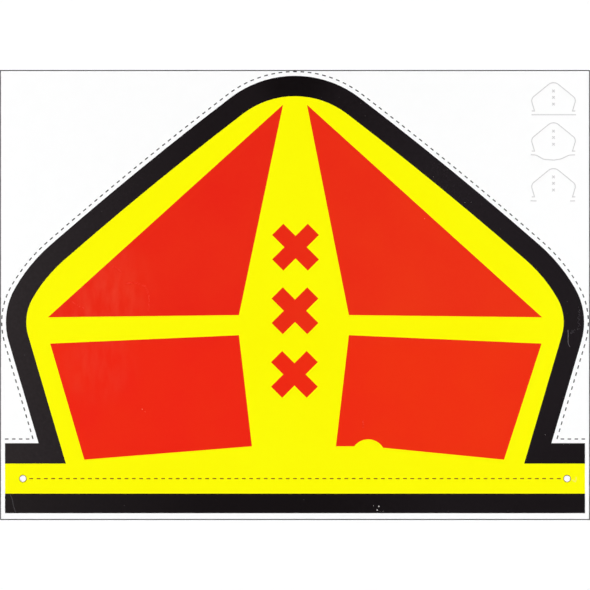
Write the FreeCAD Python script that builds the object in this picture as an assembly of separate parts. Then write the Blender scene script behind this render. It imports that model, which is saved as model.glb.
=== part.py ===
import FreeCAD, Part
import math
import os

# A printed sheet of coated paper, flat and uncut, from which a bishop's mitre is cut out. The wearer
# cuts along the dashed line round the mitre and along the slit between the two holes in the band.
# Millimetres, +Z up. The origin is the middle of the sheet's underside, +X runs along the band and
# +Y towards the crown. The print is films of ink on the upper face: yellow and black lie on the
# paper, and the red, the slit's dashes and the rings round its holes lie on the yellow.

# Thicknesses
PAPER = 0.25
INK = 0.02

# The mitre's outline, from the middle of the crown down its right side: four arcs that run smoothly
# into each other, each with its radius and the angle that it turns through, then a straight leg.
CROWN_RADIUS = 53.0
CROWN_ANGLE = 37.4
ROOF_RADIUS = 1780.0
ROOF_ANGLE = 3.75
SHOULDER_RADIUS = 84.0
SHOULDER_ANGLE = 19.25
HIP_RADIUS = 34.0
HIP_ANGLE = 46.0
FACE_HEIGHT = 183.7  # from the band's upper edge to the top of the crown

# The black border, and the band under the face, which is yellow over a black strip
BORDER = 10.2
BAND_LENGTH = 290.0
BAND_HEIGHT = 15.0
STRIP_HEIGHT = 9.8

# Paper left outside the cut-out, from the dashed line or the band to the edges of the sheet
SIDE_MARGIN = 0.84
TOP_MARGIN = 0.8
BOTTOM_MARGIN = 3.4

# The yellow column up the middle, as half widths at its top, waist and foot. It was drawn by hand and
# leans: its waist and foot stand a little to the left of the sheet's middle.
COLUMN_TOP = 6.0
COLUMN_WAIST = 27.5
COLUMN_FOOT = 21.0
COLUMN_LEAN = 0.55

# The red panels, two above the yellow crossbar and two below it
PEAK_MARGIN = 4.3  # from the black border down to the upper panels' tips
SHOULDER_MARGIN = 10.7  # from the black border in to the upper panels' outer corners
LEG_MARGIN = 9.4  # from the black border in to the lower panels
CROSSBAR_HEIGHT = 54.0  # of its lower edge at the column, above the band's upper edge
CROSSBAR_WIDTH = 10.05  # at the column
CROSSBAR_TOP_FALL = 1.1  # how far its upper edge falls on its way out
CROSSBAR_FOOT_FALL = 4.2  # how far its lower edge falls on its way out
PANEL_GAP_IN = 8.65  # from the band's yellow up to a lower panel, at the column
PANEL_GAP_OUT = 1.95  # the same, at the leg

# The lower right panel: the round-headed notch in its foot, and its outer edge, which starts nearer
# the border by its skew than the left panel's, and ends further from it by as much
NOTCH_RADIUS = 8.75
NOTCH_X = 36.6
NOTCH_DEPTH = 3.5
NOTCHED_PANEL_SKEW = 0.8

# Three diagonal crosses in the column
CROSS_LENGTH = 25.2
CROSS_WIDTH = 7.9
CROSS_PITCH = 31.8
CROSS_HEIGHT = 66.2  # of the middle cross, above the band's upper edge
CROSS_LEAN = 0.28  # how far each cross stands to the right of the one below it

# The line along the sheet's edges, the dashed cutting lines and the holes at the slit's ends
EDGE_LINE_WIDTH = 0.5
DASH_WIDTH = 0.55
CUT_GAP = 2.1  # from the black border out to the dashed line
DASH_LENGTH = 1.825  # the gaps between the dashes are as long
HOLE_RADIUS = 1.4
HOLE_INSET = 8.95  # from the end of the band
HOLE_RIM = 0.2  # bare paper between a hole and the print round it
RING_WIDTH = 0.3
SLIT_GAP = 1.65  # from the print round a hole to the first dash

OUTLINE = (
    (CROWN_RADIUS, CROWN_ANGLE),
    (ROOF_RADIUS, ROOF_ANGLE),
    (SHOULDER_RADIUS, SHOULDER_ANGLE),
    (HIP_RADIUS, HIP_ANGLE),
)
LEG_HEADING = math.radians(sum(angle for radius, angle in OUTLINE))

# Heights up the sheet, from its middle: the black strip's foot, the yellow band and the slit in it,
# the black border's underside and upper edge over the band, the crown and the cut over the band
SHEET_HEIGHT = BOTTOM_MARGIN + STRIP_HEIGHT + BAND_HEIGHT + BORDER + FACE_HEIGHT + CUT_GAP + TOP_MARGIN
STRIP_Y = BOTTOM_MARGIN - SHEET_HEIGHT / 2
BAND_Y = STRIP_Y + STRIP_HEIGHT
SLIT_Y = BAND_Y + BAND_HEIGHT / 2
BORDER_Y = BAND_Y + BAND_HEIGHT
STEP_Y = BORDER_Y + BORDER
CROWN_Y = STEP_Y + FACE_HEIGHT
CUT_Y = STEP_Y + CUT_GAP
BAND_END = BAND_LENGTH / 2
HOLE_X = BAND_END - HOLE_INSET


def vector(x, y):
    return FreeCAD.Vector(x, y, 0)


def line(start, end):
    return Part.LineSegment(start, end).toShape()


def wire(edges):
    return Part.Wire(Part.__sortEdges__(edges))


def polygon(points):
    return Part.Face(Part.makePolygon([*points, points[0]]))


def disc(x, y, radius):
    return Part.Face(Part.Wire(Part.makeCircle(radius, vector(x, y))))


def rectangle(x_end, low, high):
    """A rectangle across the sheet, x_end to each side of its middle."""
    return polygon([vector(-x_end, low), vector(x_end, low), vector(x_end, high), vector(-x_end, high)])


def mirrored(shape):
    """The shape on the other side of the sheet's middle."""
    return shape.mirror(vector(0, 0), vector(1, 0))


def both_sides(edges):
    """The edges of a right half together with those of the left half that matches it."""
    return edges + [mirrored(edge) for edge in edges]


def inward(heading):
    """The direction to the inside of the outline, where it runs at heading, clockwise from +X."""
    return vector(-math.sin(heading), -math.cos(heading))


def outline_arcs(offset):
    """The arcs of the right half of the outline, moved outwards by offset, and where they end."""
    edges = []
    heading = 0.0
    point = vector(0, CROWN_Y + offset)
    for radius, angle in OUTLINE:
        reach = radius + offset
        centre = point + inward(heading) * reach
        middle = heading + math.radians(angle) / 2
        heading += math.radians(angle)
        start, point = point, centre - inward(heading) * reach
        edges.append(Part.Arc(start, centre - inward(middle) * reach, point).toShape())
    return edges, point


def leg_point(offset, y):
    """Where the straight leg, moved outwards by offset, is at height y."""
    _, hip = outline_arcs(offset)
    return vector(hip.x + (hip.y - y) / math.tan(LEG_HEADING), y)


def half_outline(offset, y):
    """The right half of the outline, moved outwards by offset, from the crown down to height y."""
    edges, hip = outline_arcs(offset)
    return edges + [line(hip, leg_point(offset, y))]


def widest(offset):
    return max(edge.BoundBox.XMax for edge in half_outline(offset, STEP_Y))


def punched(face, radius):
    """The face with two holes of the given radius at the ends of the slit."""
    return face.cut([disc(-HOLE_X, SLIT_Y, radius), disc(HOLE_X, SLIT_Y, radius)])


def sheet_outline(inset):
    """The rectangle of the sheet, drawn in from its edges by inset."""
    half_width = max(widest(CUT_GAP), BAND_END) + SIDE_MARGIN - inset
    half_height = SHEET_HEIGHT / 2 - inset
    return rectangle(half_width, -half_height, half_height)


def yellow_ground():
    """The field inside the border, in one piece with the band."""
    corner = leg_point(-BORDER, BORDER_Y)
    upper, lower = vector(BAND_END, BORDER_Y), vector(BAND_END, BAND_Y)
    edges = half_outline(-BORDER, BORDER_Y) + [line(corner, upper), line(upper, lower)]
    foot = line(vector(-BAND_END, BAND_Y), lower)
    return punched(Part.Face(wire(both_sides(edges) + [foot])), HOLE_RADIUS + HOLE_RIM)


def black_border():
    """The border round the face, with the strips that run out over the band."""
    inner, outer = leg_point(-BORDER, BORDER_Y), leg_point(0, STEP_Y)
    lower, upper = vector(BAND_END, BORDER_Y), vector(BAND_END, STEP_Y)
    edges = half_outline(-BORDER, BORDER_Y) + half_outline(0, STEP_Y)
    edges += [line(inner, lower), line(lower, upper), line(upper, outer)]
    return Part.Face(wire(both_sides(edges)))


def black_strip():
    return rectangle(BAND_END, STRIP_Y, BAND_Y)


def upper_panel(lean):
    """The upper right panel, with the column's waist moved away from the middle by lean."""
    bar_top = STEP_Y + CROSSBAR_HEIGHT + CROSSBAR_WIDTH
    corner_y = bar_top - CROSSBAR_TOP_FALL
    level = line(vector(0, corner_y), vector(BAND_END, corner_y))
    border_x = yellow_ground().common(level).BoundBox.XMax
    return polygon([
        vector(COLUMN_TOP, CROWN_Y - BORDER - PEAK_MARGIN),
        vector(border_x - SHOULDER_MARGIN, corner_y),
        vector(COLUMN_WAIST + lean, bar_top),
    ])


def lower_panel(lean, skew=0.0, level_from=()):
    """The lower right panel, with the column's waist and foot moved away from the middle by lean. Its
    foot rises from the leg to the column, or is level from the given place on."""
    offset = -BORDER - LEG_MARGIN
    bar_foot = STEP_Y + CROSSBAR_HEIGHT
    return polygon([
        vector(COLUMN_WAIST + lean, bar_foot),
        leg_point(offset + skew, bar_foot - CROSSBAR_FOOT_FALL),
        leg_point(offset - skew, BORDER_Y + PANEL_GAP_OUT),
        *[vector(x, BORDER_Y + PANEL_GAP_IN) for x in (*level_from, COLUMN_FOOT + lean)],
    ])


def notched_panel():
    """The lower right panel, level as far as the middle of the notch in its foot."""
    centre_y = BORDER_Y + PANEL_GAP_IN + NOTCH_DEPTH - NOTCH_RADIUS
    whole = lower_panel(-COLUMN_LEAN, NOTCHED_PANEL_SKEW, (NOTCH_X,))
    return whole.cut(disc(NOTCH_X, centre_y, NOTCH_RADIUS))


def cross(x, y):
    """A diagonal cross in the column, drawn arm by arm."""
    points = []
    for arm in range(4):
        along = inward(math.radians(45 + 90 * arm))
        across = vector(along.y, -along.x)
        tip = along * (CROSS_LENGTH / 2)
        side = across * (CROSS_WIDTH / 2)
        points += [tip - side, tip + side, along * (CROSS_WIDTH / 2) + side]
    return polygon([vector(x, y) + point for point in points])


def red_fields():
    right = [upper_panel(-COLUMN_LEAN), notched_panel()]
    left = [mirrored(upper_panel(COLUMN_LEAN)), mirrored(lower_panel(COLUMN_LEAN))]
    middle = STEP_Y + CROSS_HEIGHT
    crosses = [cross(step * CROSS_LEAN, middle + step * CROSS_PITCH) for step in (-1, 0, 1)]
    return [*right, *left, *crosses]


def dash(start, end):
    run = end - start
    side = vector(-run.y, run.x) * (DASH_WIDTH / 2 / run.Length)
    return polygon([start + side, end + side, end - side, start - side])


def dashes(path):
    """Dashes along a wire that starts and ends with one, with gaps as long as the dashes."""
    count = round((path.Length / DASH_LENGTH + 1) / 2)
    ends = path.discretize(Number=2 * count)
    return [dash(start, end) for start, end in zip(ends[::2], ends[1::2])]


def edge_line():
    """The line along the edges of the sheet."""
    return sheet_outline(0).cut(sheet_outline(EDGE_LINE_WIDTH))


def cutting_line():
    """The dashes on the bare paper: round the face, and along the band to both of its ends."""
    face = wire(both_sides(half_outline(CUT_GAP, CUT_Y)))
    start = leg_point(CUT_GAP, CUT_Y) + vector(DASH_LENGTH, 0)
    band = wire([line(start, vector(BAND_END, CUT_Y))])
    return dashes(face) + both_sides(dashes(band))


def slit_line():
    """The dashes of the slit and the ring round each hole, all on the yellow band."""
    inside = HOLE_RADIUS + HOLE_RIM
    end = HOLE_X - inside - SLIT_GAP
    slit = wire([line(vector(-end, SLIT_Y), vector(end, SLIT_Y))])
    ring = disc(HOLE_X, SLIT_Y, inside + RING_WIDTH).cut(disc(HOLE_X, SLIT_Y, inside))
    return dashes(slit) + both_sides([ring])


def raised(faces, level, thickness):
    """Solids of the given thickness that stand on level, one for each face."""
    solids = []
    for face in faces:
        solid = face.extrude(FreeCAD.Vector(0, 0, thickness))
        solid.translate(FreeCAD.Vector(0, 0, level))
        solids += solid.Solids
    return solids


def save(node, solids):
    shape = solids[0] if len(solids) == 1 else Part.makeCompound(solids)
    shape.exportStep("parts/" + node + ".step")
    print(node, len(solids), "solids,", round(shape.Volume, 3), "mm3", shape.isValid(), shape.BoundBox)


os.makedirs("parts", exist_ok=True)
ON_YELLOW = PAPER + INK
on_paper = [edge_line()] + cutting_line()
save("mitre_sheet", raised([punched(sheet_outline(0), HOLE_RADIUS)], 0, PAPER))
save("yellow_ink", raised([yellow_ground()], PAPER, INK))
save("black_ink", raised([black_border(), black_strip()], PAPER, INK))
save("red_ink", raised(red_fields(), ON_YELLOW, INK))
save("guide_ink", raised(on_paper, PAPER, INK) + raised(slit_line(), ON_YELLOW, INK))
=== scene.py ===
# %% [markdown]
# # A printed paper mitre, flat and uncut
#
# The object is one sheet of coated paper, 295 mm wide and a quarter of a millimetre thick. A
# bishop's mitre is printed on it in yellow, red and black, with a dashed line to cut along, a
# dashed slit between two punched holes for the head, and three small drawings that show how it is
# put on. The sheet has never been cut or folded, so it lies flat, and nothing on it moves.
#
# The measured shapes come first: the sheet and its four inks are solids already, in metres, with
# the origin in the middle of the sheet's underside. They stay as they are. What is added here is
# their finish, the three small drawings, the marks of handling, the light and the camera.

import math
import random

import bmesh
import bpy
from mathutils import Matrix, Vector


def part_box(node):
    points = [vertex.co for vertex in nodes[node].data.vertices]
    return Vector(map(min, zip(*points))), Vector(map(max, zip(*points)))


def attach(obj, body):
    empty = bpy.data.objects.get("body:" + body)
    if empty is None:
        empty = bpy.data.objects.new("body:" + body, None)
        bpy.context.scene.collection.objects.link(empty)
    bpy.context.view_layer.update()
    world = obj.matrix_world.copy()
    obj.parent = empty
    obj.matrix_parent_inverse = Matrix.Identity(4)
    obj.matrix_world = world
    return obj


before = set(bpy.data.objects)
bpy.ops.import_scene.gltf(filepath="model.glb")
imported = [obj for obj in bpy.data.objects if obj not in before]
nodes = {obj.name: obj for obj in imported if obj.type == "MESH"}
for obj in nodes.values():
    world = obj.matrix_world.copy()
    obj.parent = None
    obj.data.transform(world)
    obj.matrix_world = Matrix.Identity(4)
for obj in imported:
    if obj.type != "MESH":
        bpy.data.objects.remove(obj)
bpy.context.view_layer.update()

MM = 0.001
for name in nodes:
    low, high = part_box(name)
    print(f"{name}: {(high - low).x / MM:.1f} x {(high - low).y / MM:.1f} mm,"
          f" from {low.z / MM:.2f} to {high.z / MM:.2f} mm high")

# %% [markdown]
# ## The camera
#
# A flat sheet is recorded from straight above, as on a copy stand, so that its corners stay
# square. A wide lens would have to hang close and would show the lamps in the gloss of the ink, so
# the lens is a long one. Its height follows from the sheet: at that height the width of the sheet
# just fills the width of the picture, which is the lens's focal length divided by the width of its
# sensor, times the width of the sheet.

# %% Hang the camera
LENS = 100.0
SENSOR = 36.0

sheet_low, sheet_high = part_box("mitre_sheet")
sheet_size = sheet_high - sheet_low
paper_top = sheet_high.z
height = paper_top + sheet_size.x * LENS / SENSOR
bpy.ops.object.camera_add(location=(0, 0, height), rotation=(0, 0, 0))
camera = bpy.context.object
camera.name = "copy_camera"
camera.data.lens = LENS
camera.data.sensor_width = SENSOR
bpy.context.scene.camera = camera
bpy.context.scene.view_settings.view_transform = "Standard"
print(f"the camera hangs {height:.3f} m above the table")

# %% [markdown]
# ## Colours and nodes
#
# Ink and paper colours are easiest to read as sRGB hex, which is what a colour chart gives.
# Blender's sockets want linear light, so one function turns the one into the other. A second one
# adds a node with its settings and its links, because every finish below is a small tree of the
# same few nodes. A socket goes by its name or its number: a Mix node takes its two colours at
# inputs 6 and 7 and gives the mixed one at output 2.

# %% A colour function and a node function
def linear(code):
    """Turns an sRGB colour such as "#EC2B18" into linear red, green, blue and alpha."""
    shares = [int(code[at:at + 2], 16) / 255 for at in (1, 3, 5)]
    return tuple(s / 12.92 if s <= 0.04045 else ((s + 0.055) / 1.055) ** 2.4 for s in shares) + (1,)


def add(tree, kind, settings=(), feeds=(), stops=()):
    """Adds a node, sets its settings, sets or links its inputs, and gives a ramp its stops."""
    made = tree.nodes.new("ShaderNode" + kind)
    for name, value in dict(settings).items():
        setattr(made, name, value)
    for name, value in dict(feeds).items():
        if isinstance(value, bpy.types.NodeSocket):
            tree.links.new(value, made.inputs[name])
        else:
            made.inputs[name].default_value = value
    if stops:
        elements = made.color_ramp.elements
        elements.remove(elements[1])
        for number, (place, colour) in enumerate(stops):
            stop = elements[0] if number == 0 else elements.new(place)
            stop.position = place
            stop.color = linear(colour)
    return made


print("a full yellow in linear light:", [round(share, 4) for share in linear("#FFFE04")])

# %% [markdown]
# ## The floor
#
# The sheet lies on white seamless paper, which is matt. The floor is a hair lower than the sheet's
# underside, so that the two faces don't fight over one height.

# %% Lay the floor
def new_material(name):
    """An empty node material."""
    made = bpy.data.materials.new(name)
    made.use_nodes = True
    made.node_tree.nodes.clear()
    return made


FLOOR_SIZE = 1.2
FLOOR_DROP = 0.05

bpy.ops.mesh.primitive_plane_add(size=FLOOR_SIZE, location=(0, 0, -FLOOR_DROP * MM))
floor = bpy.context.object
floor.name = "floor"
seamless = new_material("white_seamless_paper")
tree = seamless.node_tree
matt = add(tree, "BsdfDiffuse", feeds={"Color": linear("#FFFFFF")})
add(tree, "OutputMaterial", feeds={"Surface": matt.outputs[0]})
floor.data.materials.append(seamless)
print(f"floor {FLOOR_SIZE} m wide, {FLOOR_DROP} mm under the sheet")

# %% [markdown]
# ## The room
#
# The room has white walls up to a few degrees above the horizon and is dark from there on:
# whatever stands over a glossy sheet is mirrored in it towards the camera, and over black ink even
# a grey ceiling would show as a veil. So the world's light falls off quickly above the horizon,
# which a map range on the height of the direction does.

# %% Build the room
WALL_GLOW = 1.0
CEILING_GLOW = 0.01
WALLS_FADE = (0.1, 0.25)

world = bpy.data.worlds.new("dark_room_with_white_walls")
bpy.context.scene.world = world
world.use_nodes = True
tree = world.node_tree
tree.nodes.clear()
direction = add(tree, "TexCoord").outputs["Generated"]
rise = add(tree, "SeparateXYZ", feeds={0: direction}).outputs["Z"]
glow = add(tree, "MapRange", {"interpolation_type": "SMOOTHSTEP"}, {
    "Value": rise, "From Min": WALLS_FADE[0], "From Max": WALLS_FADE[1],
    "To Min": WALL_GLOW, "To Max": CEILING_GLOW})
back = add(tree, "Background", feeds={"Color": (1, 1, 1, 1), "Strength": glow.outputs[0]})
add(tree, "OutputWorld", feeds={"Surface": back.outputs[0]})
print(f"the walls glow at {WALL_GLOW} and the ceiling at {CEILING_GLOW}")

# %% [markdown]
# ## The lamps
#
# Two large soft boxes stand left and right of the sheet, fairly low, as on a copy stand: light
# that comes in from the side leaves to the other side, so the gloss of the ink doesn't reach the
# camera. Two weaker ones in front and behind keep the shadow at the sheet's edge even. Each is
# listed with its angle round the sheet and its power in watts, which is set so that a colour comes
# out about as it is written here, and white paper stays just under full white.

# %% Set up the soft boxes
LAMP_DISTANCE = 1.5
LAMP_RISE = math.radians(38)
LAMP_WIDTH = 0.9
LAMP_HEIGHT = 0.6
LAMPS = (("left", -90, 14.2), ("right", 90, 14.2), ("front", 0, 4.95), ("behind", 180, 4.95))

aside = LAMP_DISTANCE * math.cos(LAMP_RISE)
up = LAMP_DISTANCE * math.sin(LAMP_RISE)
for side, degrees, power in LAMPS:
    turn = math.radians(degrees)
    at = Vector((aside * math.sin(turn), -aside * math.cos(turn), up))
    bpy.ops.object.light_add(type="AREA", location=at)
    lamp = bpy.context.object
    lamp.name = "soft_box_" + side
    lamp.rotation_euler = (-at).to_track_quat("-Z", "Y").to_euler()
    lamp.data.shape = "RECTANGLE"
    lamp.data.size = LAMP_WIDTH
    lamp.data.size_y = LAMP_HEIGHT
    lamp.data.energy = power
    lamp.visible_camera = False
print(f"{len(LAMPS)} soft boxes, {sum(power for _, _, power in LAMPS):.1f} W in all")

# %% [markdown]
# ## The skin of paper and ink
#
# Coated paper and offset ink both end in a thin clear binder. So they share its index of
# refraction, about 1.5, and differ in how rough that skin is and in how much of the paper's tooth
# it keeps. The tooth is about a twentieth of a millimetre wide, and is drawn here at half a
# millimetre so that it can be seen.
#
# Every finish below ends in this skin, so one function makes it. The roughness runs between two
# values with whatever makes the surface uneven, and a share of the tooth goes into a bump. A line
# is too thin to show any tooth, so there the share is left out.

# %% A scale function and a skin function
BINDER_IOR = 1.5
TOOTH = 0.5
TOOTH_DEPTH = 0.002


def scale_for(size):
    """The scale of a texture whose patches are this many millimetres across."""
    return 1 / (size * MM)


def skin(tree, place, colour, uneven, roughness, tooth_share=0.0):
    """Ends a material in the clear skin, with its colour, two roughnesses and share of tooth."""
    sheen = add(tree, "MapRange", feeds={
        "Value": uneven, "To Min": roughness[0], "To Max": roughness[1]})
    feeds = {"Base Color": colour, "Roughness": sheen.outputs[0], "IOR": BINDER_IOR}
    if tooth_share:
        tooth = add(tree, "TexNoise", feeds={
            "Vector": place, "Scale": scale_for(TOOTH), "Detail": 2.0})
        relief = add(tree, "Bump", feeds={
            "Height": tooth.outputs["Fac"], "Distance": tooth_share * TOOTH_DEPTH * MM,
            "Strength": 1.0})
        feeds["Normal"] = relief.outputs["Normal"]
    surface = add(tree, "BsdfPrincipled", feeds=feeds)
    add(tree, "OutputMaterial", feeds={"Surface": surface.outputs[0]})


print(f"a tooth {TOOTH} mm wide needs a texture scale of {scale_for(TOOTH):.0f}")

# %% [markdown]
# ## Coated paper
#
# The sheet is coated art paper: wood pulp with a layer of china clay and binder on each face,
# pressed between hot rollers. That makes it very white and gives it a low satin sheen. Held to the
# light, the pulp under the clay is a little cloudy, in patches of several millimetres. The clay
# keeps all of the fine tooth.

# %% Make the paper
CLOUD = 7.0
PAPER_ROUGHNESS = (0.34, 0.42)
TOOTH_OF_PAPER = 1.0

coated_paper = new_material("coated_art_paper")
tree = coated_paper.node_tree
place = add(tree, "TexCoord").outputs["Object"]
cloud = add(tree, "TexNoise", feeds={"Vector": place, "Scale": scale_for(CLOUD), "Detail": 3.0})
white = add(tree, "ValToRGB", feeds={"Fac": cloud.outputs["Fac"]}, stops=(
    (0.3, "#FEFEFE"), (0.7, "#FFFFFF")))
skin(tree, place, white.outputs["Color"], cloud.outputs["Fac"], PAPER_ROUGHNESS, TOOTH_OF_PAPER)
print(f"{coated_paper.name} has clouds of {CLOUD} mm")

# %% [markdown]
# ## Yellow ink
#
# Offset ink is a film a few thousandths of a millimetre thick. Process yellow is transparent, so
# the white paper shines through it and it looks brighter than any paint. It covers the whole
# mitre, under the red as well. The film fills the tooth of the paper by half, so it is smoother
# and glossier than the paper. Its faults are slow bands, where the rollers lay a little more ink,
# and a fine mottle.

# %% Make the yellow ink
MOTTLE = 2.5
MOTTLE_IN_YELLOW = 0.35
ROLLER_BAND = 60.0
YELLOW_ROUGHNESS = (0.2, 0.27)
TOOTH_IN_YELLOW = 0.5

yellow_ink = new_material("process_yellow_offset_ink")
tree = yellow_ink.node_tree
place = add(tree, "TexCoord").outputs["Object"]
mottle = add(tree, "TexNoise", feeds={"Vector": place, "Scale": scale_for(MOTTLE), "Detail": 3.0})
band = add(tree, "TexNoise", feeds={
    "Vector": place, "Scale": scale_for(ROLLER_BAND), "Detail": 1.0})
load = add(tree, "Math", {"operation": "MULTIPLY_ADD"}, {
    0: mottle.outputs["Fac"], 1: MOTTLE_IN_YELLOW, 2: band.outputs["Fac"]})
colour = add(tree, "ValToRGB", feeds={"Fac": load.outputs[0]}, stops=(
    (0.4, "#FFFE04"), (1.0, "#FFFA00")))
skin(tree, place, colour.outputs["Color"], mottle.outputs["Fac"], YELLOW_ROUGHNESS,
     TOOTH_IN_YELLOW)
print(f"{yellow_ink.name} has a mottle of {MOTTLE} mm and bands of {ROLLER_BAND} mm")

# %% [markdown]
# ## Red ink
#
# The red fields and crosses are magenta laid over the yellow, which together make a warm scarlet.
# The magenta is what varies: where the film is thinner, more yellow comes through and the red
# turns towards orange. It is a little thinner on the right half of the sheet and a shade brighter
# below the crossbar, it drifts in slow clouds, and it has the same fine mottle as the yellow. One
# ramp gives the red above the crossbar and another the red below it, and the height mixes them.

# %% Mix the red
RED_CLOUD = 35.0
CLOUDS_IN_RED = 0.6
MOTTLE_IN_RED = 0.15
THINNER_FROM_TO = (-29.5, 59.0)
THINNER_BY = 0.35
BELOW_CROSSBAR = (-17.0, -27.0)

red_ink = new_material("magenta_over_yellow_offset_ink")
tree = red_ink.node_tree
place = add(tree, "TexCoord").outputs["Object"]
split = add(tree, "SeparateXYZ", feeds={0: place})
thinner = add(tree, "MapRange", feeds={
    "Value": split.outputs["X"], "From Min": THINNER_FROM_TO[0] * MM,
    "From Max": THINNER_FROM_TO[1] * MM, "To Min": 0.0, "To Max": THINNER_BY})
clouds = add(tree, "TexNoise", feeds={
    "Vector": place, "Scale": scale_for(RED_CLOUD), "Detail": 3.0})
mottle = add(tree, "TexNoise", feeds={"Vector": place, "Scale": scale_for(MOTTLE), "Detail": 3.0})
drift = add(tree, "Math", {"operation": "MULTIPLY_ADD"}, {
    0: clouds.outputs["Fac"], 1: CLOUDS_IN_RED, 2: thinner.outputs[0]})
load = add(tree, "Math", {"operation": "MULTIPLY_ADD"}, {
    0: mottle.outputs["Fac"], 1: MOTTLE_IN_RED, 2: drift.outputs[0]})
upper = add(tree, "ValToRGB", feeds={"Fac": load.outputs[0]}, stops=(
    (0.25, "#EB2414"), (0.85, "#EE3414")))
lower = add(tree, "ValToRGB", feeds={"Fac": load.outputs[0]}, stops=(
    (0.25, "#F02413"), (0.85, "#F1330F")))
below = add(tree, "MapRange", feeds={
    "Value": split.outputs["Y"], "From Min": BELOW_CROSSBAR[0] * MM,
    "From Max": BELOW_CROSSBAR[1] * MM})
red = add(tree, "Mix", {"data_type": "RGBA"}, {
    "Factor": below.outputs[0], 6: upper.outputs["Color"], 7: lower.outputs["Color"]})
print(f"{red_ink.name} drifts in clouds of {RED_CLOUD} mm")

# %% [markdown]
# The outer corners on the left have been rubbed in the pile, mostly up and down, which leaves soft
# upright streaks of a paler red. They come from a noise that is drawn out upwards, and they fade
# with the distance from each rubbed place. The black ink has places of its own, so a function
# makes the fading.

# %% A function that fades away from places
RUBBED_PLACES = ((-98, 2, 0.45, 10, 32), (-98, -35, 0.3, 8, 24))


def faded(tree, place, spots, least=0.0):
    """The largest of least and of the spots' shares, each of which fades away from its spot. A
    spot is x, y, its share, and the distances at which that starts to fade and at which it ends."""
    for x, y, share, start, end in spots:
        spot = (x * MM, y * MM, paper_top)
        far = add(tree, "VectorMath", {"operation": "DISTANCE"}, {0: place, 1: spot})
        near = add(tree, "MapRange", {"interpolation_type": "SMOOTHSTEP"}, {
            "Value": far.outputs["Value"], "From Min": start * MM, "From Max": end * MM,
            "To Min": share, "To Max": 0.0})
        larger = add(tree, "Math", {"operation": "MAXIMUM"}, {0: least, 1: near.outputs[0]})
        least = larger.outputs[0]
    return least


for x, y, share, start, end in RUBBED_PLACES:
    print(f"rubbed by {share} at {x}, {y} mm, and not at all {end} mm from there")

# %% Rub the red and give it its skin
RUB_STREAK = (4.0, 13.0)
STREAK_RANGE = (0.36, 0.72)
RED_ROUGHNESS = (0.19, 0.26)
TOOTH_IN_RED = 0.4

drawn_out = add(tree, "Mapping", {"vector_type": "POINT"}, {
    "Vector": place, "Scale": (scale_for(RUB_STREAK[0]), scale_for(RUB_STREAK[1]), 1)})
streaks = add(tree, "TexNoise", feeds={
    "Vector": drawn_out.outputs["Vector"], "Scale": 1.0, "Detail": 3.0})
strong = add(tree, "MapRange", feeds={
    "Value": streaks.outputs["Fac"], "From Min": STREAK_RANGE[0], "From Max": STREAK_RANGE[1]})
rubbed = add(tree, "Math", {"operation": "MULTIPLY"}, {
    0: strong.outputs[0], 1: faded(tree, place, RUBBED_PLACES)})
colour = add(tree, "Mix", {"data_type": "RGBA"}, {
    "Factor": rubbed.outputs[0], 6: red.outputs[2], 7: linear("#F04A34")})
skin(tree, place, colour.outputs[2], mottle.outputs["Fac"], RED_ROUGHNESS, TOOTH_IN_RED)
print(f"the streaks are {RUB_STREAK[0]} mm wide and {RUB_STREAK[1]} mm long")

# %% [markdown]
# ## Black ink
#
# The border and the strip are a solid of warm black. A large solid shows its ink load most: it is
# fullest in the crown, along the foot and in the lower right corner, and thins to a dark brownish
# grey towards the left shoulder and leg. A ramp across the sheet sets that, and the full places
# are mixed in by height and by distance.

# %% Mix the black
FULL_BLACK = "#0A0607"
MOTTLE_IN_BLACK = 0.12
FOOT_SHARE = 0.45
FOOT_FADE = 12.0

black_low, black_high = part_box("black_ink")
strip_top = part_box("yellow_ink")[0].y
full_places = ((0, black_high.y / MM, 0.7, 8, 24),
               (black_high.x / MM, black_low.y / MM, 0.45, 10, 65))

black_ink = new_material("warm_black_offset_ink")
tree = black_ink.node_tree
place = add(tree, "TexCoord").outputs["Object"]
split = add(tree, "SeparateXYZ", feeds={0: place})
across = add(tree, "MapRange", feeds={
    "Value": split.outputs["X"], "From Min": black_low.x, "From Max": black_high.x})
mottle = add(tree, "TexNoise", feeds={"Vector": place, "Scale": scale_for(MOTTLE), "Detail": 4.0})
load = add(tree, "Math", {"operation": "MULTIPLY_ADD"}, {
    0: mottle.outputs["Fac"], 1: MOTTLE_IN_BLACK, 2: across.outputs[0]})
colour = add(tree, "ValToRGB", feeds={"Fac": load.outputs[0]}, stops=(
    (0.06, "#2C2728"), (0.2, "#252022"), (0.4, "#1A1517"), (0.62, "#181315"), (0.82, "#211C1F"),
    (1.0, "#1D181B")))
foot = add(tree, "MapRange", {"interpolation_type": "SMOOTHSTEP"}, {
    "Value": split.outputs["Y"], "From Min": strip_top, "From Max": strip_top + FOOT_FADE * MM,
    "To Min": FOOT_SHARE, "To Max": 0.0})
shade = add(tree, "Mix", {"data_type": "RGBA"}, {
    "Factor": faded(tree, place, full_places, foot.outputs[0]),
    6: colour.outputs["Color"], 7: linear(FULL_BLACK)})
print(f"the strip's upper edge is {-strip_top / MM:.1f} mm below the middle of the sheet")

# %% [markdown]
# A fine grain is laid over all of it. Dust on the plate leaves pinholes in any large solid, a
# quarter of a millimetre across and a few to the square centimetre. The cells of a Voronoi texture
# give them their places, and most cells stay without one.

# %% Add the grain and the pinholes, and give the black its skin
GRAIN = 1.6
GRAIN_SHARE = 0.25
PINHOLE = 0.25
PINHOLE_GAP = 3.0
CELLS_WITHOUT = 0.7
BLACK_ROUGHNESS = (0.19, 0.27)
TOOTH_IN_BLACK = 0.5

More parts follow.
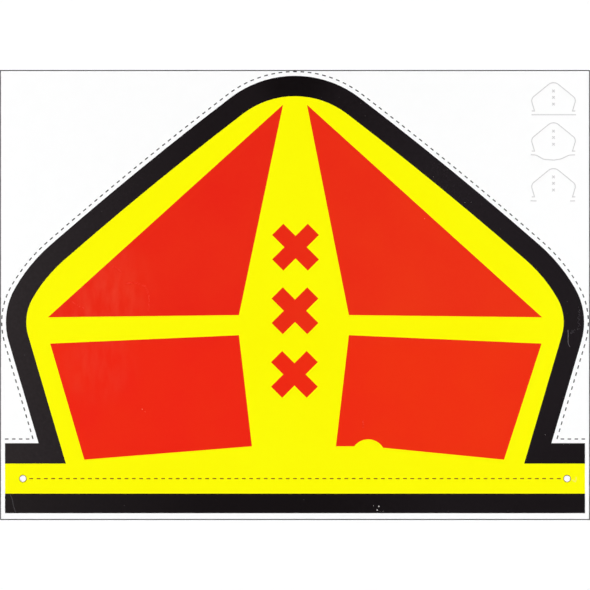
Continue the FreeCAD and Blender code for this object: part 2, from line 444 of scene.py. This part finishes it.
grain = add(tree, "TexNoise", feeds={"Vector": place, "Scale": scale_for(GRAIN), "Detail": 5.0})
grainy = add(tree, "Mix", {"data_type": "RGBA", "blend_type": "SOFT_LIGHT"}, {
    "Factor": GRAIN_SHARE, 6: shade.outputs[2], 7: grain.outputs["Fac"]})
specks = add(tree, "TexVoronoi", feeds={"Vector": place, "Scale": scale_for(PINHOLE_GAP)})
near = add(tree, "MapRange", feeds={
    "Value": specks.outputs["Distance"], "From Min": 0.5 * PINHOLE / PINHOLE_GAP,
    "From Max": PINHOLE / PINHOLE_GAP, "To Min": 1.0, "To Max": 0.0})
few = add(tree, "Math", {"operation": "GREATER_THAN"}, {
    0: specks.outputs["Color"], 1: CELLS_WITHOUT})
pinholes = add(tree, "Math", {"operation": "MULTIPLY"}, {0: near.outputs[0], 1: few.outputs[0]})
solid = add(tree, "Mix", {"data_type": "RGBA"}, {
    "Factor": pinholes.outputs[0], 6: grainy.outputs[2], 7: linear("#4A4648")})
skin(tree, place, solid.outputs[2], mottle.outputs["Fac"], BLACK_ROUGHNESS, TOOTH_IN_BLACK)
print(f"pinholes of {PINHOLE} mm, in cells of {PINHOLE_GAP} mm")

# %% [markdown]
# ## Line ink
#
# All the guide lines are fine black lines, about half a millimetre wide: the dashed line to cut
# along, the slit and the rings round the holes. The line along the sheet's edge is drawn in the
# same ink, but it is painted shade: a dark outline that stands for the thin shadow at the edge of
# the sheet. From a step away they look grey, because the eye mixes so thin a line with the paper
# beside it. On the yellow they look brown, because so thin a black lets some of the yellow through.
# The lines on the yellow stand one film higher than those on the paper, so their height tells the
# two apart.

# %% Make the line ink
FILM = 0.02 * MM
LINE_GRAIN = 0.6
LINE_ROUGHNESS = (0.32, 0.4)

between_films = paper_top + 1.5 * FILM
# Besides the printed lines, this ink paints the dark outline along the sheet's edge, which is
# painted shade for the thin shadow at that edge.
line_and_edge_shade_ink = new_material("fine_black_line_and_painted_edge_shade_ink")
tree = line_and_edge_shade_ink.node_tree
place = add(tree, "TexCoord").outputs["Object"]
level = add(tree, "SeparateXYZ", feeds={0: place}).outputs["Z"]
on_yellow = add(tree, "Math", {"operation": "GREATER_THAN"}, {0: level, 1: between_films})
grain = add(tree, "TexNoise", feeds={
    "Vector": place, "Scale": scale_for(LINE_GRAIN), "Detail": 2.0})
black = add(tree, "ValToRGB", feeds={"Fac": grain.outputs["Fac"]}, stops=(
    (0.3, "#262425"), (0.7, "#323031")))
brown = add(tree, "ValToRGB", feeds={"Fac": grain.outputs["Fac"]}, stops=(
    (0.3, "#753400"), (0.7, "#874000")))
shade = add(tree, "Mix", {"data_type": "RGBA"}, {
    "Factor": on_yellow.outputs[0], 6: black.outputs["Color"], 7: brown.outputs["Color"]})
skin(tree, place, shade.outputs[2], grain.outputs["Fac"], LINE_ROUGHNESS)
print(f"a line whose top is above {between_films / MM:.2f} mm lies on the yellow and is brown")

# %% [markdown]
# ## The finishes on their solids
#
# Each solid is one material all over, so whatever slots it came with are emptied and its own
# finish is the only one that is put back.

# %% Give the sheet and its inks their finishes
FINISHES = {"mitre_sheet": coated_paper, "yellow_ink": yellow_ink, "red_ink": red_ink,
            "black_ink": black_ink, "guide_ink": line_and_edge_shade_ink}
for name, finish in FINISHES.items():
    nodes[name].data.materials.clear()
    nodes[name].data.materials.append(finish)
    print(name, "is", finish.name)

# %% [markdown]
# ## How a line of ink is drawn
#
# The small drawings are thin lines of one width, with round corners. A curve with a bevel would
# make round wires, which ink is not. Here a line is walked instead: a point is extruded from place
# to place, its corners are rounded with a vertex bevel, the whole chain is lifted by the thickness
# of the film, and Solidify gives the little wall its width, half to each side. That keeps the
# width the same round every corner and closes the ends.

# %% A function that picks, and a function that draws a line
NEAR = 0.01
ROUNDING_STEPS = 6


def pick(part, kind, test):
    """In edit mode, selects only those vertices or edges that pass the test."""
    bpy.ops.mesh.select_mode(type=kind)
    bpy.ops.mesh.select_all(action="DESELECT")
    mesh = bmesh.from_edit_mesh(part.data)
    group = {"VERT": mesh.verts, "EDGE": mesh.edges}[kind]
    for item in filter(test, group):
        item.select_set(True)
    bmesh.update_edit_mesh(part.data)


def draw_line(name, points, width, top, rounding=()):
    """A raised line through points. Rounding lists the number of a point and the length that is
    rounded off there. All of it is in millimetres, but for the height of its top, in metres."""
    bpy.ops.object.select_all(action="DESELECT")
    first = points[0]
    start = (first[0] * MM, first[1] * MM, paper_top)
    bpy.ops.mesh.primitive_plane_add(size=width * MM, location=start)
    line = bpy.context.object
    line.name = name
    bpy.ops.object.mode_set(mode="EDIT")
    bpy.ops.mesh.select_mode(type="VERT")
    bpy.ops.mesh.merge(type="CENTER")
    for a, b in zip(points, points[1:]):
        step = ((b[0] - a[0]) * MM, (b[1] - a[1]) * MM, 0)
        bpy.ops.mesh.extrude_region_move(TRANSFORM_OT_translate={"value": step})
    for number, length in rounding:
        x, y = points[number]
        corner = Vector(((x - first[0]) * MM, (y - first[1]) * MM, 0))
        pick(line, "VERT", lambda vertex: (vertex.co - corner).length < NEAR * MM)
        bpy.ops.mesh.bevel(affect="VERTICES", offset=length * MM, segments=ROUNDING_STEPS)
    bpy.ops.mesh.select_all(action="SELECT")
    lift = (0, 0, top - paper_top)
    bpy.ops.mesh.extrude_region_move(TRANSFORM_OT_translate={"value": lift})
    bpy.ops.mesh.select_all(action="SELECT")
    bpy.ops.mesh.normals_make_consistent(inside=False)
    bpy.ops.object.mode_set(mode="OBJECT")
    bpy.ops.object.transform_apply(location=True, rotation=True, scale=True)
    breadth = line.modifiers.new("line_width", "SOLIDIFY")
    breadth.thickness = width * MM
    breadth.offset = 0
    breadth.use_even_offset = True
    bpy.ops.object.modifier_apply(modifier=breadth.name)
    return line


print(f"a corner is found within {NEAR} mm of its point, and is rounded in {ROUNDING_STEPS} steps")

# %% [markdown]
# ## The little mitre
#
# Each drawing starts with the same outline, the mitre at about a thirteenth of its size: a round
# crown, two round shoulders, legs that lean in, and a short turn outwards at each foot where the
# band begins. So it is drawn once, in millimetres from the middle of its foot, and copied.

# %% Draw the little mitre once
LINE = 0.5
TAB = 10.9
FOOT = 9.5
SHOULDER_OUT = 11.29
SHOULDER_UP = 6.08
CROWN = 15.32
SHOULDER_ROUNDING = 1.7
CROWN_ROUNDING = 3.2

outline = [(-TAB, 0), (-FOOT, 0), (-SHOULDER_OUT, SHOULDER_UP), (0, CROWN),
           (SHOULDER_OUT, SHOULDER_UP), (FOOT, 0), (TAB, 0)]
corners = ((2, SHOULDER_ROUNDING), (3, CROWN_ROUNDING), (4, SHOULDER_ROUNDING))
little_mitre = draw_line("little_mitre", outline, LINE, paper_top + FILM, corners)
print(f"the little mitre is {little_mitre.dimensions.x / MM:.1f}"
      f" x {little_mitre.dimensions.y / MM:.1f} mm")

# %% [markdown]
# ## The little crosses
#
# Three saltires stand on each little mitre. One starts as a square, whose four sides are each
# extruded outwards into an arm. Then the cross is turned by 45 degrees, and its five faces
# together are lifted by the film.

# %% Make one little cross
ARM = 0.9
ARM_WIDTH = 0.5


def middle_of(edge):
    """The middle of an edge."""
    return (edge.verts[0].co + edge.verts[1].co) / 2


bpy.ops.object.select_all(action="DESELECT")
bpy.ops.mesh.primitive_plane_add(size=ARM_WIDTH * MM, location=(0, 0, 0))
little_cross = bpy.context.object
little_cross.name = "little_cross"
bpy.ops.object.mode_set(mode="EDIT")
for x, y in ((1, 0), (-1, 0), (0, 1), (0, -1)):
    side_of_square = Vector((x, y, 0)) * ARM_WIDTH / 2 * MM
    pick(little_cross, "EDGE", lambda edge: (middle_of(edge) - side_of_square).length < NEAR * MM)
    reach = (ARM - ARM_WIDTH / 2) * MM
    bpy.ops.mesh.extrude_region_move(TRANSFORM_OT_translate={"value": (x * reach, y * reach, 0)})
bpy.ops.mesh.select_all(action="SELECT")
bpy.ops.transform.rotate(value=math.radians(45), orient_axis="Z", center_override=(0, 0, 0))
bpy.ops.mesh.extrude_region_move(TRANSFORM_OT_translate={"value": (0, 0, FILM)})
bpy.ops.mesh.select_all(action="SELECT")
bpy.ops.mesh.normals_make_consistent(inside=False)
bpy.ops.object.mode_set(mode="OBJECT")
print(f"a little cross is {little_cross.dimensions.x / MM:.2f} mm wide")

# %% [markdown]
# ## The three drawings
#
# They stand one under the other in the top right corner and show the three steps: the mitre cut
# out with its band lying straight, the band bowed out to open the slit, and the mitre on, with
# only the ends of the band to be seen. Below its little mitre each one has its own line or lines.
# A step is listed with how far its foot is from the sheet's top edge, with its lines, and with the
# points in them that bend. Each drawing is joined into one piece, as it is one print.

# %% Two functions that copy and join
FROM_RIGHT_EDGE = 18.25


def copy_to(piece, x, y, z):
    """A copy of a piece with a mesh of its own, moved by x, y and z in millimetres."""
    bpy.ops.object.select_all(action="DESELECT")
    piece.select_set(True)
    bpy.context.view_layer.objects.active = piece
    bpy.ops.object.duplicate(linked=False)
    bpy.ops.transform.translate(value=(x * MM, y * MM, z * MM))
    bpy.ops.object.transform_apply(location=True, rotation=False, scale=False)
    return bpy.context.object


def joined(name, parts):
    """Joins several pieces into one, named."""
    bpy.ops.object.select_all(action="DESELECT")
    for part in parts:
        part.select_set(True)
    bpy.context.view_layer.objects.active = parts[0]
    bpy.ops.object.join()
    whole = bpy.context.object
    whole.name = name
    whole.data.name = name
    return whole


foot_x = sheet_high.x / MM - FROM_RIGHT_EDGE
print(f"the drawings stand {foot_x:.2f} mm right of the sheet's middle")

# %% Compose the drawings
CROSS_HEIGHTS = (3.45, 6.8, 10.0)
BEND = 0.8
STRAIGHT_BAND = [(-11, -1.9), (11.3, -1.9)]
BOWED_BAND = [(-11.4, -1.8), (-8.7, -2.0), (-4.9, -4.15), (0.2, -4.5), (3.8, -3.95), (7.8, -2.0),
              (10.8, -1.9)]
LEFT_END = [(-11.5, -1.95), (-8.5, -2.05)]
RIGHT_END = [(8.3, -2.05), (10.8, -2.0)]
STEPS = (
    ("guide_drawing_cut_out", 20.5, (STRAIGHT_BAND,), ()),
    ("guide_drawing_band_bowed", 40.55, (BOWED_BAND,), (1, 2, 4, 5)),
    ("guide_drawing_put_on", 63.45, (LEFT_END, RIGHT_END), ()),
)

drawings = []
for name, from_top, lines, bends in STEPS:
    foot_y = sheet_high.y / MM - from_top
    parts = [copy_to(little_mitre, foot_x, foot_y, 0)]
    for number, line in enumerate(lines):
        placed = [(x + foot_x, y + foot_y) for x, y in line]
        rounding = [(corner, BEND) for corner in bends]
        parts.append(draw_line(f"{name}_{number}", placed, LINE, paper_top + FILM, rounding))
    for cross_y in CROSS_HEIGHTS:
        parts.append(copy_to(little_cross, foot_x, foot_y + cross_y, paper_top / MM))
    drawings.append(joined(name, parts))
    print(name, "has", len(drawings[-1].data.polygons), "faces")
for model in (little_mitre, little_cross):
    bpy.data.objects.remove(model)

# %% [markdown]
# The drawings are a much lighter screen of the same black, so they stay in the background beside
# the bright mitre.

# %% Make the pale line ink
PALE_GRAIN = 0.8
PALE_ROUGHNESS = (0.36, 0.44)

pale_ink = new_material("pale_screened_line_ink")
tree = pale_ink.node_tree
place = add(tree, "TexCoord").outputs["Object"]
grain = add(tree, "TexNoise", feeds={
    "Vector": place, "Scale": scale_for(PALE_GRAIN), "Detail": 2.0})
grey = add(tree, "ValToRGB", feeds={"Fac": grain.outputs["Fac"]}, stops=(
    (0.3, "#CFCECF"), (0.7, "#D7D6D7")))
skin(tree, place, grey.outputs["Color"], grain.outputs["Fac"], PALE_ROUGHNESS)
for drawing in drawings:
    drawing.data.materials.clear()
    drawing.data.materials.append(pale_ink)
    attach(drawing, "root")
    print(drawing.name, "is", pale_ink.name)

# %% [markdown]
# ## Scratch and crease
#
# The sheet has been kept in a pile and taken out often. On the right shoulder something hard has
# left a hooked scratch, and the left end of the strip has a short crease, where the corner was
# once bent. Both are thin marks with a bend or two, so each is drawn as a line of ink is. It
# stands one film above the ink that it lies in, so that it shows.

# %% Draw the scratch and the crease
black_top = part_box("black_ink")[1].z + FILM

SCRATCH = [(136.4, -17.4), (136.6, -19.2), (136.5, -24.2), (137.4, -25.9)]
SCRATCH_WIDTH = 0.25
CREASE = [(-142.3, -99.8), (-141.3, -102.4), (-140.8, -105.5), (-139.6, -108.9)]
CREASE_WIDTH = 0.5

scratch = draw_line("shoulder_scratch", SCRATCH, SCRATCH_WIDTH, black_top, ((2, 0.9),))
crease = draw_line("strip_crease", CREASE, CREASE_WIDTH, black_top, ((1, 1.2), (2, 1.2)))
for mark in (scratch, crease):
    print(f"{mark.name} is {mark.dimensions.y / MM:.1f} mm long")

# %% [markdown]
# ## Flecks in the black
#
# A few flecks of ink have come off the border and the strip. A fleck is a flat round of nine
# corners, stretched and turned, whose corners are then moved a little at random, from a fixed
# seed. The random moves go up and down as well, so the round is flattened again before it is
# lifted. Each fleck is listed with its place, its length and breadth, and its turn in degrees.

# %% A function that makes a fleck
FLECK_CORNERS = 9
RAGGED = 0.12


def fleck(name, x, y, length, breadth, turn, top, seed):
    """A raised fleck of this length and breadth in millimetres, turned in degrees."""
    centre = (x * MM, y * MM, paper_top)
    bpy.ops.object.select_all(action="DESELECT")
    bpy.ops.mesh.primitive_circle_add(
        vertices=FLECK_CORNERS, radius=0.5 * MM, fill_type="NGON", location=centre)
    made = bpy.context.object
    made.name = name
    bpy.ops.object.mode_set(mode="EDIT")
    bpy.ops.transform.resize(value=(length, breadth, 1), center_override=centre)
    bpy.ops.transform.rotate(value=math.radians(turn), orient_axis="Z", center_override=centre)
    bpy.ops.transform.vertex_random(
        offset=RAGGED * breadth * MM, uniform=0.0, normal=0.0, seed=seed)
    bpy.ops.transform.resize(value=(1, 1, 0), center_override=centre)
    lift = (0, 0, top - paper_top)
    bpy.ops.mesh.extrude_region_move(TRANSFORM_OT_translate={"value": lift})
    bpy.ops.mesh.select_all(action="SELECT")
    bpy.ops.mesh.normals_make_consistent(inside=False)
    bpy.ops.object.mode_set(mode="OBJECT")
    bpy.ops.object.transform_apply(location=True, rotation=True, scale=True)
    return made


print(f"a fleck has {FLECK_CORNERS} corners, moved by up to {RAGGED:.0%} of its breadth")

# %% Make the flecks in the black
BLACK_FLECKS = (
    (41.95, -105.65, 0.75, 0.45, 60), (41.05, -107.45, 0.65, 0.45, 75),
    (39.2, -105.3, 0.35, 0.16, 80), (42.5, -108.1, 0.2, 0.15, 0), (44.1, -108.15, 0.2, 0.15, 0),
    (69.1, 59.1, 0.25, 0.18, -40), (88.0, 46.3, 0.25, 0.15, 10), (85.0, 46.3, 0.25, 0.15, 30),
    (125.1, -69.9, 0.25, 0.2, 70),
)
black_flecks = joined("border_flecks", [
    fleck("fleck", *place_and_size, black_top, seed)
    for seed, place_and_size in enumerate(BLACK_FLECKS)])
print(black_flecks.name, "has", len(BLACK_FLECKS), "flecks")

# %% [markdown]
# ## Scuffs
#
# Beside the scratch are two streaks of scuffing. A scuff is many fine strokes side by side, so
# each streak is a dozen or so long flecks in three lanes, with gaps where chance leaves one out. A
# streak is listed with where it starts and ends, and how far apart its lanes are.

# %% Make the two streaks of scuffing
STREAKS = (((142.3, -6.0), (141.6, -14.6), 0.5), ((142.9, -15.6), (137.6, -18.9), 0.6))
PLACES = 24
LANES = 3
LEFT_OUT = 0.4
SWAY = 25
STROKE_LENGTH = (0.4, 0.9)
STROKE_BREADTH = (0.12, 0.3)
SCUFF_SEED = 12

chance = random.Random(SCUFF_SEED)
strokes = []
for start, end, lane in STREAKS:
    along = Vector(end) - Vector(start)
    across = Vector((-along.y, along.x)).normalized()
    heading = math.degrees(math.atan2(along.y, along.x))
    for number in range(PLACES):
        if chance.random() < LEFT_OUT:
            continue
        aside = across * (number % LANES - LANES // 2) * lane
        spot = Vector(start) + along * (number + 0.5) / PLACES + aside
        turn = heading + chance.uniform(-SWAY, SWAY)
        length = chance.uniform(*STROKE_LENGTH)
        breadth = chance.uniform(*STROKE_BREADTH)
        strokes.append(fleck("stroke", spot.x, spot.y, length, breadth, turn, black_top, number))
print(f"{len(strokes)} strokes in {len(STREAKS)} streaks")
scuffs = joined("shoulder_scuffs", strokes)

# %% [markdown]
# ## Rub marks
#
# The big red fields have faint rub marks, soft lines nearly a millimetre wide with rounded bends,
# and the yellow has one small hooked one beside the right hole. They are drawn as the scratch is.

# %% Draw the rub marks
red_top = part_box("red_ink")[1].z + FILM
yellow_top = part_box("yellow_ink")[1].z + FILM

RUB_WIDTH = 0.9
RUB_BEND = 1.2
RUBS = (
    ((-111.4, -3.4), (-109.2, -5.3), (-104.9, -6.9)),
    ((-84.6, 5.6), (-80.5, 6.4), (-74.6, 4.4), (-73.0, -0.5), (-73.2, -8.2)),
    ((-92.0, 14.6), (-88.7, 13.4), (-86.9, 11.3)),
    ((34.0, -62.6), (34.1, -66.4)),
)
HOOK = [(138.6, -92.3), (139.5, -93.1), (140.2, -93.4), (140.6, -91.8), (140.5, -90.9)]
HOOK_WIDTH = 0.5

rub_lines = []
for path in RUBS:
    bends = [(corner, RUB_BEND) for corner in range(1, len(path) - 1)]
    rub_lines.append(draw_line("rub", path, RUB_WIDTH, red_top, bends))
rubs = joined("panel_rub_marks", rub_lines)
band_rub = draw_line("band_rub_mark", HOOK, HOOK_WIDTH, yellow_top, ((1, 0.4), (2, 0.3), (3, 0.4)))
print(f"{len(RUBS)} marks in the red, and a hook {band_rub.dimensions.x / MM:.1f} mm wide")

# %% [markdown]
# The red has three pale flecks as well, where the magenta has come off the yellow.

# %% Make the flecks in the red
RED_FLECKS = ((-76.4, -57.1, 0.7, 0.4, 70), (-74.9, -58.4, 0.4, 0.25, 40),
              (64.8, 38.2, 0.5, 0.35, 80))
FIRST_RED_SEED = 40

red_flecks = joined("panel_flecks", [
    fleck("fleck", *place_and_size, red_top, seed)
    for seed, place_and_size in enumerate(RED_FLECKS, FIRST_RED_SEED)])
print(red_flecks.name, "has", len(RED_FLECKS), "flecks")

# %% [markdown]
# ## Worn inks
#
# Where black ink is scratched, the white clay under it shows through what is left of the film, so
# a scratch is grey, and only a fleck that came off whole is white. All of these are dull, because
# the smooth skin of the ink is gone. The red and the yellow are only rubbed, which left them
# lighter and still polished.

# %% Make the worn inks
WORN_GRAIN = 0.7
POLISHED = (0.22, 0.32)
DULL = (0.5, 0.65)
WORN = (
    ("clay_under_flaked_ink", "#DEDBD8", "#ECEAE6", DULL, black_flecks, "coated_paper"),
    ("scratched_black_ink", "#4A4548", "#7A7477", DULL, scratch, "black_print"),
    ("creased_black_ink", "#1D191C", "#2B262A", DULL, crease, "black_print"),
    ("scuffed_black_ink", "#383338", "#4A444A", DULL, scuffs, "black_print"),
    ("rubbed_red_ink", "#EC2A17", "#EE301B", POLISHED, rubs, "red_print"),
    ("flaked_red_ink", "#F4745C", "#F68A70", DULL, red_flecks, "red_print"),
    ("rubbed_yellow_ink", "#FBF058", "#FDF47C", POLISHED, band_rub, "yellow_print"),
)
for name, darker, lighter, roughness, piece, slot in WORN:
    worn = new_material(name)
    tree = worn.node_tree
    place = add(tree, "TexCoord").outputs["Object"]
    grain = add(tree, "TexNoise", feeds={
        "Vector": place, "Scale": scale_for(WORN_GRAIN), "Detail": 2.0})
    colour = add(tree, "ValToRGB", feeds={"Fac": grain.outputs["Fac"]}, stops=(
        (0.3, darker), (0.7, lighter)))
    skin(tree, place, colour.outputs["Color"], grain.outputs["Fac"], roughness)
    piece.data.materials.clear()
    piece.data.materials.append(worn)
    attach(piece, "root")
    print(piece.name, "is", name)
